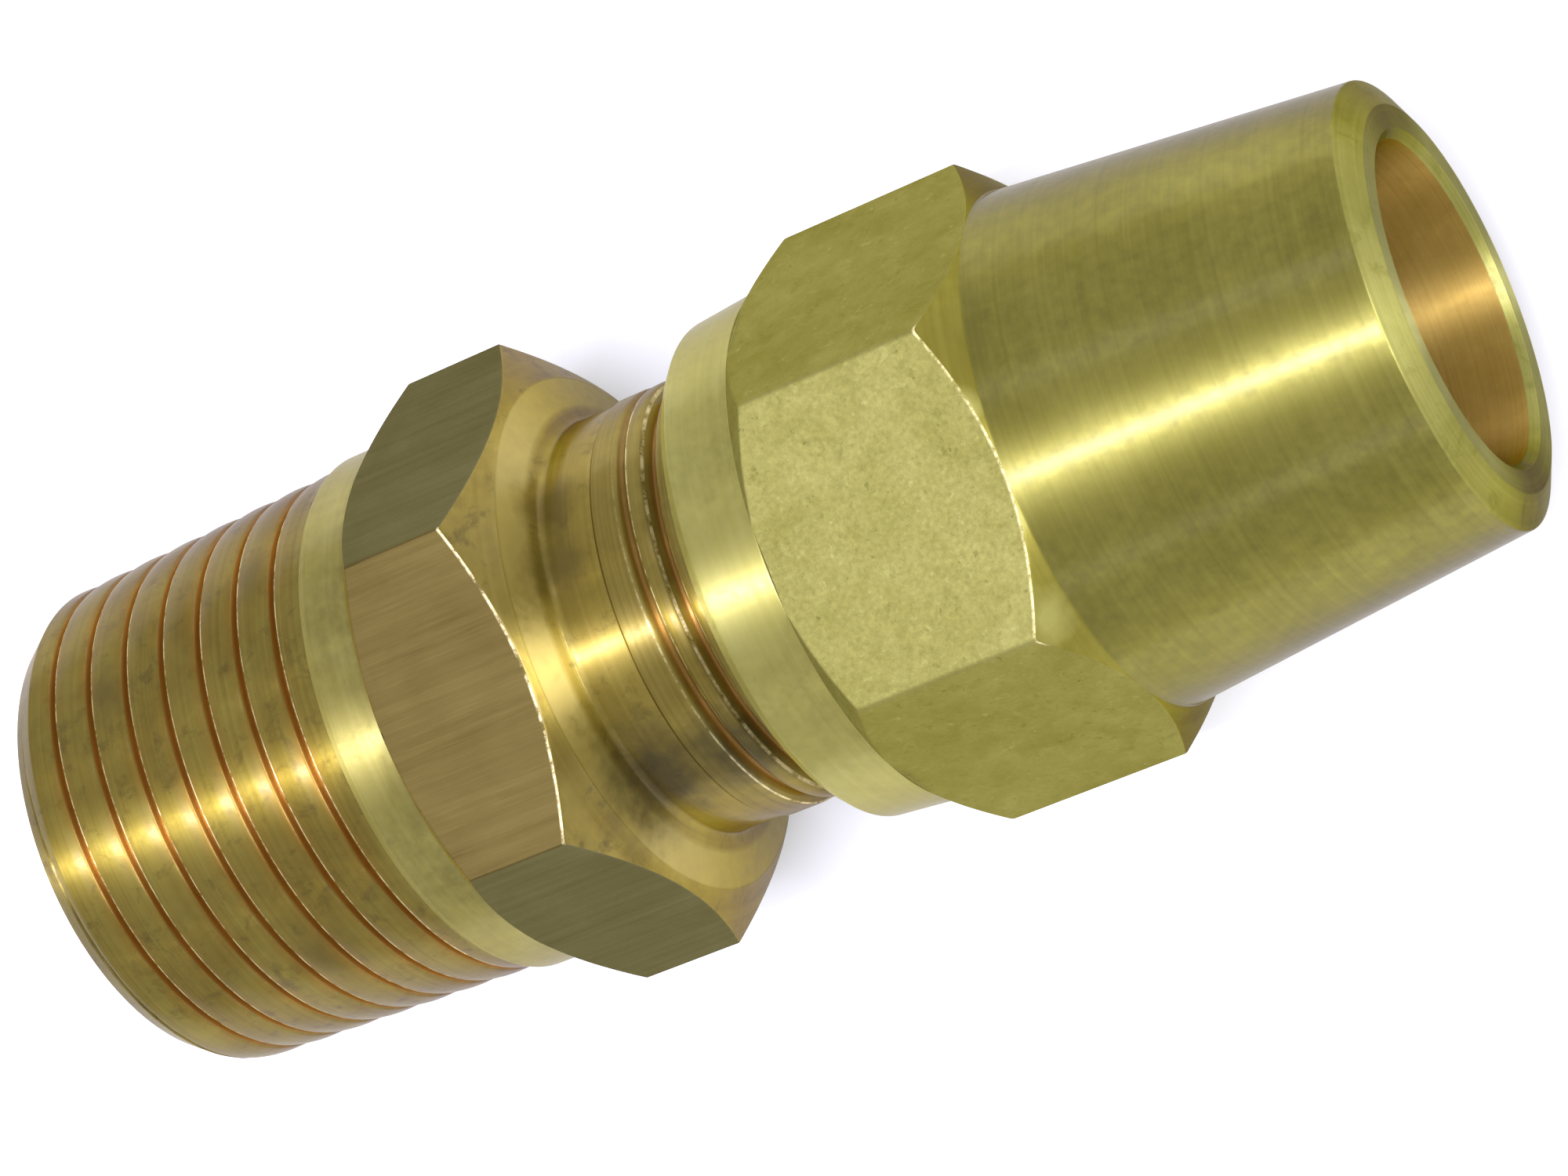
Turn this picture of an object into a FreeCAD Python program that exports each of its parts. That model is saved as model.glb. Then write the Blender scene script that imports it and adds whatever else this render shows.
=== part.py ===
"""Flare fitting: a hex connector body with a taper pipe thread and a flare end,
the long flare nut that screws on it, and the conical gasket between them.

Millimetres, +Z up.  The fitting lies on a flat of its body hexagon with its axis
along +X.  The origin is the centre of the pipe end's face, and the nut is at +X.
Every piece is turned about the Z axis first, and laid down along X at the end.
"""
import FreeCAD, Part
import math
import os

# ---------------------------------------------------------------- driving sizes
# Pipe end: R 1/2 taper thread (ISO 7-1), with wide, truncated crests
PIPE_PITCH = 1.8143
PIPE_GAUGE_DIAMETER = 20.955
PIPE_GAUGE_LENGTH = 8.2
PIPE_TAPER = 1.0 / 16.0          # change of diameter per length
PIPE_THREAD_LENGTH = 14.65
PIPE_GROOVE_WIDTH = 0.50
PIPE_GROOVE_ROOT = 0.08
PIPE_HALF_ANGLE = 27.5
PIPE_FACE_RADIUS = 9.45
PIPE_CHAMFER_LENGTH = 1.20
PIPE_GROOVE_START = -0.207       # where the groove's helix crosses angle 0
PIPE_FADE_TURNS = 0.6            # turns over which the groove fades at the collar
PIPE_FADE_GAP = 0.1              # between the end of the fade and the collar

# Body hexagon, with a plain collar on its pipe side
COLLAR_RADIUS = 10.90
COLLAR_START = 14.95             # its pipe side slopes down to the thread
HEX_START = 16.95                # where the pipe-side chamfer leaves the collar
HEX_END = 23.55                  # where the flats end on the flare side
HEX_FLATS = 22.0
HEX_CHAMFER_ANGLE = 34.0         # both chamfers, measured from the end face
SHOULDER_RADIUS = 10.7           # the flare side's chamfer ends here, its face begins

# Flare end: smooth neck, 11/16 inch thread with 20 turns per inch, 45 degree nose
NECK_RADIUS = 8.62
NECK_START = 24.35               # where the shoulder's face ends
NECK_FILLET = 0.3
NECK_FILLET_BEND = 0.3           # the fillet's bend, as a share of its size
THREAD_START = 26.7
THREAD_END = 38.2
THREAD_PITCH = 1.27
THREAD_RADIUS = 8.73             # crest of the outer thread
THREAD_ROOT = 8.23               # bottom of the outer thread
THREAD_ROOT_FLAT = 0.12
THREAD_HALF_ANGLE = 30.0
THREAD_GROOVE_AT = 27.575        # where the groove's helix crosses angle 0
THREAD_FADE_START = 27.7         # where the groove begins, beside the neck
THREAD_FADE_END = 28.6           # where it has its full depth
THREAD_CLEARANCE = 0.10          # between the flanks of the two threads
CREST_CLEARANCE = 0.16           # between each crest and the other root
NOSE_BASE_RADIUS = 7.75
NOSE_TIP_RADIUS = 6.00
NOSE_LINE = 46.0                 # the nose cone is the line x + r = NOSE_LINE

# Waterway
FLARE_BORE_RADIUS = 5.0
PIPE_BORE_RADIUS = 7.0
PIPE_BORE_DEPTH = 22.0
DRILL_POINT_ANGLE = 59.0         # half of the drill's 118 degree point
BORE_CHAMFER = 0.4

# Flare nut
NUT_RIM = 30.65                  # its open end, at rest
NUT_RIM_CHAMFER = 0.45
NUT_COLLAR_RADIUS = 10.26
NUT_SHOULDER = 34.0              # where the collar's draft ends and the flats start
NUT_SHOULDER_RADIUS = 10.54
NUT_CORNER_START = 35.23         # where the forged slope meets the hex corners
NUT_CORNER_END = 42.68
NUT_FLATS = 20.8
SLEEVE_START = 43.95
SLEEVE_START_RADIUS = 10.40
SLEEVE_END_RADIUS = 8.86
NUT_END = 59.0
NUT_END_CHAMFER = 0.62           # along the axis
NUT_FACE_RADIUS = 7.65
NUT_TURN = -1.2                  # the nut's hexagon against the body's, degrees
NUT_MOUTH_RADIUS = 9.15
NUT_RELIEF_RADIUS = 9.15
NUT_RELIEF_START = 39.0
NUT_RELIEF_END = 40.2
NUT_RELIEF_RUN_IN = 0.8          # length of the cone from the thread to the relief
NUT_THREAD_TURNS = 9.0
TUBE_BORE_RADIUS = 6.4           # for 1/2 inch (12.7 mm) tube
TUBE_MOUTH_RADIUS = 6.72

# Conical copper gasket, and the play on each side of it with the nut tight
GASKET_THICKNESS = 0.8
GASKET_INNER_RADIUS = 6.2
GASKET_OUTER_RADIUS = 7.9
GASKET_PLAY = 0.05
TURNS_TO_TIGHTEN = 1.0           # the nut stands this far from tight at rest

# ------------------------------------------------------------- derived sizes
OVERCUT = 0.6                    # how far the cutters stand out of the metal
END_MARGIN = 1.0                 # how far they reach past an end face
PROUD = 0.05                     # how far a thread's V goes on past the surface
RUN_OUT_DIP = 0.2                # how far a fade's cone starts inside the groove
RUN_OUT_RIM = 3.0                # how far its core stands out past the fade
RUN_OUT_TAIL = 6.0               # and how far it reaches along the axis
GASKET_AXIAL = GASKET_THICKNESS * math.sqrt(2.0)
SEAT_LINE = (NOSE_LINE + 2.0 * GASKET_PLAY + GASKET_AXIAL
             + TURNS_TO_TIGHTEN * THREAD_PITCH)
GASKET_LINE = SEAT_LINE - GASKET_PLAY
NUT_MINOR_RADIUS = THREAD_ROOT + CREST_CLEARANCE
NUT_MAJOR_RADIUS = THREAD_RADIUS + CREST_CLEARANCE

ORIGIN = FreeCAD.Vector(0, 0, 0)
AXIS = FreeCAD.Vector(0, 0, 1)


def tan_degrees(angle):
    return math.tan(math.radians(angle))


def pipe_crest(z):
    """Radius of the pipe thread's crest, z from the pipe end."""
    return (PIPE_GAUGE_DIAMETER + (z - PIPE_GAUGE_LENGTH) * PIPE_TAPER) / 2.0


def turned(profile, splines=()):
    """A solid turned about the Z axis from (z, radius) points.

    The straight runs that start at the points numbered in splines are made as
    B-splines, so that a hexagon's flats meet them in B-splines, not hyperbolas.
    """
    points = [FreeCAD.Vector(r, 0, z) for z, r in profile]
    edges = []
    for k, start in enumerate(points):
        run = Part.LineSegment(start, points[(k + 1) % len(points)])
        edges.append((run.toBSpline() if k in splines else run).toShape())
    return Part.Face(Part.Wire(edges)).revolve(ORIGIN, AXIS, 360)


def hexagon(flats, z_from, z_to):
    """A hexagonal prism with one flat across +X."""
    corner = flats / math.sqrt(3.0)
    points = []
    for k in range(7):
        angle = math.radians(30 + 60 * k)
        points.append(FreeCAD.Vector(corner * math.cos(angle), corner * math.sin(angle), z_from))
    return Part.Face(Part.makePolygon(points)).extrude(AXIS * (z_to - z_from))


def thread_cutter(pitch, z_start, z_stop, tip, edge, tip_half, half_angle, taper=0.0):
    """A V-shaped rib on a right-hand helix that starts at angle 0.

    The V runs from radius tip, inside the metal, to just past radius edge, which
    is the metal's surface, and goes on from there with straight sides.  Both
    radii are at z = 0, and taper is their change per length.
    """
    outward = math.copysign(1.0, edge - tip)
    brim = edge + outward * PROUD
    base = edge + outward * OVERCUT
    brim_half = tip_half + abs(brim - tip) * tan_degrees(half_angle)
    shift = taper * z_start
    helix = Part.makeLongHelix(pitch, z_stop - z_start, min(tip, base) + shift,
                               math.degrees(math.atan(taper)))
    helix.translate(FreeCAD.Vector(0, 0, z_start))
    corners = [(tip, -tip_half), (tip, tip_half), (brim, brim_half),
               (base, brim_half), (base, -brim_half), (brim, -brim_half)]
    points = [FreeCAD.Vector(r + shift, 0, z_start + dz) for r, dz in corners]
    points.append(points[0])
    sweep = Part.BRepOffsetAPI.MakePipeShell(Part.Wire(helix.Edges))
    sweep.setFrenetMode(True)
    sweep.add(Part.makePolygon(points), False, False)
    sweep.build()
    sweep.makeSolid()
    return sweep.shape()


def connector_body():
    chamfer = tan_degrees(HEX_CHAMFER_ANGLE)
    flat = HEX_FLATS / 2.0
    corner = HEX_FLATS / math.sqrt(3.0) + OVERCUT
    bend = NECK_FILLET * NECK_FILLET_BEND
    drill_depth = (PIPE_BORE_RADIUS - FLARE_BORE_RADIUS) / tan_degrees(DRILL_POINT_ANGLE)
    nose_end = NOSE_LINE - NOSE_TIP_RADIUS
    blank = turned([
        (0, PIPE_BORE_RADIUS + BORE_CHAMFER),
        (0, PIPE_FACE_RADIUS),
        (PIPE_CHAMFER_LENGTH, pipe_crest(PIPE_CHAMFER_LENGTH)),
        (PIPE_THREAD_LENGTH, pipe_crest(PIPE_THREAD_LENGTH)),
        (COLLAR_START, COLLAR_RADIUS),
        (HEX_START, COLLAR_RADIUS),
        (HEX_START, flat),
        (HEX_START + (corner - flat) * chamfer, corner),
        (HEX_END - (corner - flat) * chamfer, corner),
        (HEX_END, flat),
        (HEX_END + (flat - SHOULDER_RADIUS) * chamfer, SHOULDER_RADIUS),
        (NECK_START, NECK_RADIUS + NECK_FILLET),
        (NECK_START + bend, NECK_RADIUS + bend),
        (NECK_START + NECK_FILLET, NECK_RADIUS),
        (THREAD_START, NECK_RADIUS),
        (THREAD_START + THREAD_RADIUS - NECK_RADIUS, THREAD_RADIUS),
        (THREAD_END - (THREAD_RADIUS - NOSE_BASE_RADIUS), THREAD_RADIUS),
        (THREAD_END, NOSE_BASE_RADIUS),
        (NOSE_LINE - NOSE_BASE_RADIUS, NOSE_BASE_RADIUS),
        (nose_end, NOSE_TIP_RADIUS),
        (nose_end, FLARE_BORE_RADIUS),
        (PIPE_BORE_DEPTH + drill_depth, FLARE_BORE_RADIUS),
        (PIPE_BORE_DEPTH, PIPE_BORE_RADIUS),
        (BORE_CHAMFER, PIPE_BORE_RADIUS),
    ], splines=(6, 8))
    blank = blank.common(hexagon(HEX_FLATS, -END_MARGIN, nose_end + END_MARGIN))

    # pipe thread: the groove runs in from the open end and fades at the collar
    taper = PIPE_TAPER / 2.0
    depth = (PIPE_GROOVE_WIDTH - PIPE_GROOVE_ROOT) / 2.0 / tan_degrees(PIPE_HALF_ANGLE)
    crest = pipe_crest(0)
    groove = thread_cutter(PIPE_PITCH, PIPE_GROOVE_START - PIPE_PITCH, PIPE_THREAD_LENGTH,
                           crest - depth, crest, PIPE_GROOVE_ROOT / 2.0,
                           PIPE_HALF_ANGLE, taper)
    fade_start = PIPE_THREAD_LENGTH - PIPE_FADE_TURNS * PIPE_PITCH
    groove = groove.cut(run_out(fade_start, pipe_crest(fade_start) - depth,
                                PIPE_THREAD_LENGTH - PIPE_FADE_GAP, pipe_crest(PIPE_THREAD_LENGTH)))
    blank = blank.cut(groove)

    # flare thread: the groove runs in from the nose and fades at the neck
    groove = thread_cutter(THREAD_PITCH, THREAD_GROOVE_AT - THREAD_PITCH,
                           THREAD_END + THREAD_PITCH, THREAD_ROOT, THREAD_RADIUS,
                           THREAD_ROOT_FLAT / 2.0, THREAD_HALF_ANGLE)
    groove = groove.cut(run_out(THREAD_FADE_END, THREAD_ROOT, THREAD_FADE_START, THREAD_RADIUS))
    return blank.cut(groove)


def run_out(z_deep, r_deep, z_shallow, r_shallow):
    """The solid core that lifts a groove from its full depth to nothing.

    Its cone starts RUN_OUT_DIP inside the groove's full depth, to cross it cleanly.
    """
    reach = z_shallow - z_deep
    dip = RUN_OUT_DIP * reach / (r_shallow - r_deep)
    far = z_shallow + math.copysign(RUN_OUT_TAIL, reach)
    return turned([
        (z_deep - dip, 0.0),
        (z_deep - dip, r_deep - RUN_OUT_DIP),
        (z_shallow, r_shallow),
        (z_shallow, r_shallow + RUN_OUT_RIM),
        (far, r_shallow + RUN_OUT_RIM),
        (far, 0.0),
    ])


def flare_nut():
    corner = NUT_FLATS / math.sqrt(3.0)
    slope = (corner - NUT_SHOULDER_RADIUS) / (NUT_CORNER_START - NUT_SHOULDER)
    back = (corner - SLEEVE_START_RADIUS) / (SLEEVE_START - NUT_CORNER_END)
    outside = turned([
        (NUT_RIM, 0.0),
        (NUT_RIM, NUT_COLLAR_RADIUS - NUT_RIM_CHAMFER),
        (NUT_RIM + NUT_RIM_CHAMFER, NUT_COLLAR_RADIUS),
        (NUT_SHOULDER, NUT_SHOULDER_RADIUS),
        (NUT_CORNER_START + OVERCUT / slope, corner + OVERCUT),
        (NUT_CORNER_END - OVERCUT / back, corner + OVERCUT),
        (SLEEVE_START, SLEEVE_START_RADIUS),
        (NUT_END - NUT_END_CHAMFER, SLEEVE_END_RADIUS),
        (NUT_END, NUT_FACE_RADIUS),
        (NUT_END, 0.0),
    ], splines=(3, 5))
    flats = hexagon(NUT_FLATS, NUT_SHOULDER, NUT_END + END_MARGIN)
    flats.rotate(ORIGIN, AXIS, NUT_TURN)
    collar = Part.makeCylinder(corner + END_MARGIN, NUT_SHOULDER - NUT_RIM + END_MARGIN,
                               FreeCAD.Vector(0, 0, NUT_RIM - END_MARGIN), AXIS)
    nut = outside.common(flats.fuse(collar))

    mouth = NUT_MOUTH_RADIUS - NUT_MINOR_RADIUS
    nut = nut.cut(turned([
        (NUT_RIM - END_MARGIN, 0.0),
        (NUT_RIM - END_MARGIN, NUT_MOUTH_RADIUS + END_MARGIN),
        (NUT_RIM + mouth, NUT_MINOR_RADIUS),
        (NUT_RELIEF_START - NUT_RELIEF_RUN_IN, NUT_MINOR_RADIUS),
        (NUT_RELIEF_START, NUT_RELIEF_RADIUS),
        (NUT_RELIEF_END, NUT_RELIEF_RADIUS),
        (NUT_RELIEF_END, SEAT_LINE - NUT_RELIEF_END),
        (SEAT_LINE - TUBE_BORE_RADIUS, TUBE_BORE_RADIUS),
        (NUT_END - (TUBE_MOUTH_RADIUS - TUBE_BORE_RADIUS), TUBE_BORE_RADIUS),
        (NUT_END + END_MARGIN, TUBE_MOUTH_RADIUS + END_MARGIN),
        (NUT_END + END_MARGIN, 0.0),
    ]))

    # the inner thread is what the outer groove leaves, less the clearance
    ridge_half = (THREAD_ROOT_FLAT / 2.0
                  + (NUT_MAJOR_RADIUS - THREAD_ROOT) * tan_degrees(THREAD_HALF_ANGLE)
                  - THREAD_CLEARANCE / math.cos(math.radians(THREAD_HALF_ANGLE)))
    first = THREAD_GROOVE_AT + THREAD_PITCH / 2.0
    groove = thread_cutter(THREAD_PITCH, first, first + NUT_THREAD_TURNS * THREAD_PITCH,
                           NUT_MAJOR_RADIUS, NUT_MINOR_RADIUS,
                           THREAD_PITCH / 2.0 - ridge_half, THREAD_HALF_ANGLE)
    return nut.cut(groove)


def flare_gasket():
    inner = GASKET_LINE - GASKET_AXIAL
    return turned([
        (inner - GASKET_INNER_RADIUS, GASKET_INNER_RADIUS),
        (inner - GASKET_OUTER_RADIUS, GASKET_OUTER_RADIUS),
        (GASKET_LINE - GASKET_OUTER_RADIUS, GASKET_OUTER_RADIUS),
        (GASKET_LINE - GASKET_INNER_RADIUS, GASKET_INNER_RADIUS),
    ])


def lay_down(shape):
    """Turns the Z axis onto +X, with the hexagon's first flat underneath."""
    shape.rotate(ORIGIN, FreeCAD.Vector(0, 1, 0), 90)
    return shape


PARTS = {
    "connector_body": connector_body,
    "flare_nut": flare_nut,
    "flare_gasket": flare_gasket,
}

os.makedirs("parts", exist_ok=True)
for name, make in PARTS.items():
    shape = lay_down(make())
    solids = shape.Solids
    box = shape.BoundBox
    print(name, "solids", len(solids), "valid", shape.isValid(), "volume %.1f" % shape.Volume,
          "x %.2f..%.2f z %.2f..%.2f" % (box.XMin, box.XMax, box.ZMin, box.ZMax))
    solids[0].exportStep("parts/" + name + ".step")
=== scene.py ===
"""Looks of the flare fitting: connector body, flare nut and conical gasket.

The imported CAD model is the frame.  The two turned pieces are rebuilt here as fine
rings with small edge radii, and ride its bodies.  Their sizes are in millimetres
until each mesh is made, in metres.
"""
import math

import bpy
import numpy as np
from mathutils import Matrix, Vector


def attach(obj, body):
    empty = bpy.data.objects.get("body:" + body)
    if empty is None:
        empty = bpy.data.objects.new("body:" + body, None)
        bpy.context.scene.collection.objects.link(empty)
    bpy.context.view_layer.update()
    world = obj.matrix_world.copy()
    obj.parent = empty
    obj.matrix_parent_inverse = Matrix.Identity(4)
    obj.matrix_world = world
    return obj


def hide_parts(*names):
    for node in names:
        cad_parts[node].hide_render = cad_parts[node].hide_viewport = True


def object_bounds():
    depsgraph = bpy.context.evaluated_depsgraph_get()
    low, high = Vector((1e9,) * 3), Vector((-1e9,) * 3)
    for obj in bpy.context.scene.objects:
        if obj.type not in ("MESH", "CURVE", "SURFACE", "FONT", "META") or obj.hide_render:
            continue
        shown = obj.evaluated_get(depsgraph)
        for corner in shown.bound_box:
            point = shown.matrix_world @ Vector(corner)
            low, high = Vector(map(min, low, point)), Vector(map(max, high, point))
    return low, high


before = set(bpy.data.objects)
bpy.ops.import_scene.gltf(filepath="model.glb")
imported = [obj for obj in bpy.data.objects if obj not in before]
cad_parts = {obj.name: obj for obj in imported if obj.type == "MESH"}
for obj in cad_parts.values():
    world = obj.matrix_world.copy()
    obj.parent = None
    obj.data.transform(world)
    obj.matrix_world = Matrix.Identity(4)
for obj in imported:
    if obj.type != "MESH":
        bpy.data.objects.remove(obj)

CAD_BOX = [list(corner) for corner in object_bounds()]
MM = 0.001

# ------------------------------------------------------------------ CAD sizes
# All as in the CAD model, except that PIPE_GROOVE is finer and RELIEF_SLOPE steeper
PIPE_PITCH = 1.8143
PIPE_GAUGE_RADIUS = 20.955 / 2
PIPE_GAUGE_LENGTH = 8.2
PIPE_TAPER = 1 / 32                # change of radius per length
PIPE_THREAD_LENGTH = 14.65
PIPE_FACE_RADIUS = 9.45
PIPE_CHAMFER_LENGTH = 1.2
PIPE_GROOVE_AT = -0.207
PIPE_FADE_TURNS = 0.6
PIPE_FADE_GAP = 0.1
PIPE_GROOVE = {"depth": 0.32, "root_half": 0.03, "slope": math.tan(math.radians(22))}
COLLAR_RADIUS = 10.90
COLLAR_START = 14.95
HEX_START = 16.95
HEX_END = 23.55
HEX_FLATS = 22.0
HEX_CHAMFER = math.tan(math.radians(34))
SHOULDER_RADIUS = 10.7
NECK_RADIUS = 8.62
NECK_START = 24.35
NECK_FILLET = 0.3
THREAD_START = 26.7
THREAD_END = 38.2
THREAD_PITCH = 1.27
THREAD_RADIUS = 8.73
THREAD_GROOVE_AT = 27.575
THREAD_FADE_START = 27.7
THREAD_FADE_END = 28.6
THREAD_GROOVE = {"depth": 0.50, "root_half": 0.06, "slope": math.tan(math.radians(30))}
NOSE_BASE_RADIUS = 7.75
NOSE_TIP_RADIUS = 6.00
NOSE_LINE = 46.0
FLARE_BORE_RADIUS = 5.0
PIPE_BORE_RADIUS = 7.0
PIPE_BORE_DEPTH = 22.0
DRILL_POINT = 1.2017
BORE_CHAMFER = 0.4

NUT_RIM = 30.65
NUT_RIM_CHAMFER = 0.45
NUT_COLLAR_RADIUS = 10.26
NUT_SHOULDER = 34.0
NUT_SHOULDER_RADIUS = 10.54
NUT_CORNER_START = 35.23
NUT_CORNER_END = 42.68
NUT_FLATS = 20.8
NUT_TURN = -1.2
SLEEVE_START = 43.95
SLEEVE_START_RADIUS = 10.40
SLEEVE_END_RADIUS = 8.86
NUT_END = 59.0
NUT_END_CHAMFER = 0.62
NUT_FACE_RADIUS = 7.65
NUT_RELIEF_RADIUS = 9.15
NUT_RELIEF_START = 39.0
NUT_RELIEF_END = 40.2
RELIEF_SLOPE = 1.1
NUT_MINOR_RADIUS = 8.39
NUT_GROOVE = {"depth": 0.50, "root_half": 0.3094, "slope": math.tan(math.radians(30))}
SEAT_LINE = 48.5014
TUBE_BORE_RADIUS = 6.4
TUBE_MOUTH_RADIUS = 6.72

# ------------------------------------------------------------------ fine shape
BODY_CORNER = {"radius": 0.10, "angle": 0.2}      # a hexagon corner's rounding, mm and degrees
NUT_CORNER = {"radius": 0.28, "angle": 0.6}
CORNER_STEPS = (0, 0.5, 1, 1.5, 2.4)              # rows beside a corner, counted in its angle
PIPE_WEAR = {"crown": 0.075, "ease": 0.02}        # drop across a thread land and at its edges
FLARE_WEAR = {"crown": 0.02, "ease": 0.05}
EASE_REACH = 0.07
PIPE_LEAD_IN = 0.15                # plain rings past the end chamfer, before the helix rows
FLARE_LEAD_IN = 0.35
LEAD_OUT = 0.1
NUT_LIP = 0.3                      # first inner ring behind the nut's rim
UNCUT_END = 0.2                    # the pipe thread leaves this much of the end's edge alone
FINE_STEP = 0.05
MOUTH_RINGS = 20
CHAMFER_RINGS = 16
ROW_GAP = 0.12                     # degrees; an even row closer than this to a corner row is dropped
TANGENT_SHARE = 0.42               # how much of an edge's length its rounding may take
BRACE_SHARE = 0.46
WELD_STEPS = 2e4                   # per mm, for matching rings that two grids share
FADE_DEPTH = 0.1                   # groove depth under which the land's wear fades out


# ------------------------------------------------------------------ ring meshes
def angles(turn, edge_angle):
    """Angles round the axis, denser at the hexagon's corners, from straight down."""
    plain = np.arange(-90, 270, 1.0)
    steps = np.array(CORNER_STEPS) * edge_angle
    corners = turn + np.arange(0, 360, 60)
    extra = (corners[:, None] + np.concatenate([steps, -steps[1:]])).ravel()
    extra = (extra + 90) % 360 - 90
    near = np.abs((plain[:, None] - extra + 180) % 360 - 180).min(axis=1)
    return np.radians(np.sort(np.concatenate([plain[near > ROW_GAP], np.unique(extra.round(6))])))


def hex_radius(t, flats, turn, edge):
    """Radius of a hexagon with flats facing up and down, its corners rounded."""
    off = (np.degrees(t) - turn + 30 + 30) % 60 - 30
    from_corner = np.radians(30 - np.abs(off))
    centre = (flats / 2 - edge) / math.cos(math.radians(30))
    root = edge ** 2 - (centre * np.sin(from_corner)) ** 2
    rounded = centre * np.cos(from_corner) + np.sqrt(np.maximum(root, 0))
    limit = math.atan2(edge / 2, centre + edge * math.cos(math.radians(30)))
    return np.where(from_corner < limit, rounded, flats / 2 / np.cos(np.radians(off)))


def rounded_rows(points, count, steps=4, support=0.07):
    """Rows of (x, r) from profile points (x, r, corner radius, slot), each a number or one per angle.

    The slot is that of the surface from the point on.
    """
    full = [np.stack([np.broadcast_to(np.asarray(p[0], float), count),
                      np.broadcast_to(np.asarray(p[1], float), count)], axis=-1) for p in points]
    rows, slots = [full[0]], []
    for k in range(1, len(full) - 1):
        corner, radius = full[k], points[k][2]
        before, after = full[k - 1] - corner, full[k + 1] - corner
        l0 = np.linalg.norm(before, axis=-1, keepdims=True)
        l1 = np.linalg.norm(after, axis=-1, keepdims=True)
        before, after = before / np.maximum(l0, 1e-9), after / np.maximum(l1, 1e-9)
        cosine = np.clip(-(before * after).sum(axis=-1, keepdims=True), -1, 1)
        tangent = radius * np.tan(np.arccos(cosine) / 2)
        tangent = np.minimum(tangent, TANGENT_SHARE * np.minimum(l0, l1))
        brace0 = np.minimum(tangent + support, BRACE_SHARE * l0)
        brace1 = np.minimum(tangent + support, BRACE_SHARE * l1)
        curve = [corner + before * brace0]
        for u in np.linspace(0, 1, steps + 1):
            curve.append(corner + before * tangent * (1 - u) ** 2 + after * tangent * u ** 2)
        curve.append(corner + after * brace1)
        for i, row in enumerate(curve):
            slots.append(points[k - 1][3] if i <= len(curve) // 2 else points[k][3])
            rows.append(row)
    rows.append(full[-1])
    slots.append(points[-2][3])
    return np.array(rows), slots


class Shell:
    """A closed mesh gathered from grids that meet at shared rings."""

    def __init__(self, t):
        self.t = t
        self.points, self.quads, self.slots, self.total = [], [], [], 0

    def _keep(self, x, r):
        y, z = r * np.cos(self.t), r * np.sin(self.t)
        self.points.append(np.stack([x, y, z], axis=-1).reshape(-1, 3))
        index = self.total + np.arange(x.size).reshape(x.shape)
        self.total += x.size
        return index

    def _join(self, a, b, c, d, slots):
        self.quads.append(np.stack([a, b, c, d], axis=-1).reshape(-1, 4))
        self.slots.append(np.broadcast_to(slots, a.shape).ravel())

    def rings(self, rows, slots):
        """rows is (n, angles, 2); slots has one for each band between two rows."""
        index = self._keep(rows[..., 0], rows[..., 1])
        ahead = np.roll(index, -1, axis=1)
        self._join(index[:-1], ahead[:-1], ahead[1:], index[1:], np.array(slots)[:, None])

    def helix(self, start, stop, pitch, at, offsets, radius, slot, inner=False):
        """Rows that climb with the thread, cut off square at start and stop."""
        lo, hi = min(start, stop), max(start, stop)
        first = math.floor((lo - at) / pitch) - 2
        last = math.ceil((hi - at) / pitch) + 2
        base = (at + pitch * np.arange(first, last)[:, None] + np.array(offsets)).ravel()
        turn = (self.t + math.pi / 2) / (2 * math.pi)
        x = np.clip(base[:, None] + pitch * turn, lo, hi)
        index = self._keep(x, radius(x, np.broadcast_to(self.t, x.shape)))
        n = len(offsets)
        grid = [(index[:-1, :-1], index[:-1, 1:], index[1:, 1:], index[1:, :-1]),
                (index[:-n - 1, -1], index[n:-1, 0], index[n + 1:, 0], index[1:-n, -1])]
        for a, b, c, d in grid:
            self._join(*((d, c, b, a) if inner else (a, b, c, d)), slot)

    def build(self, name, materials):
        points = np.concatenate(self.points)
        quads = np.concatenate(self.quads)
        slots = np.concatenate(self.slots)
        _, first, same = np.unique((points * WELD_STEPS).round().astype(np.int64), axis=0,
                                   return_index=True, return_inverse=True)
        quads = same.reshape(-1)[quads]
        flat = (quads == np.roll(quads, -1, axis=1)).sum(axis=1)
        faces = quads[flat == 0].tolist()
        picked = slots[flat == 0].tolist()
        for quad, slot in zip(quads[flat == 1].tolist(), slots[flat == 1].tolist()):
            corners = [v for i, v in enumerate(quad) if v != quad[i - 1]]
            if len(set(corners)) == 3:
                faces.append(corners)
                picked.append(slot)
        mesh = bpy.data.meshes.new(name)
        mesh.from_pydata((points[first] * MM).tolist(), [], faces)
        for material in materials:
            mesh.materials.append(material)
        mesh.polygons.foreach_set("material_index", picked)
        mesh.shade_smooth()
        mesh.validate()
        piece = bpy.data.objects.new(name, mesh)
        bpy.context.scene.collection.objects.link(piece)
        return piece


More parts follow.
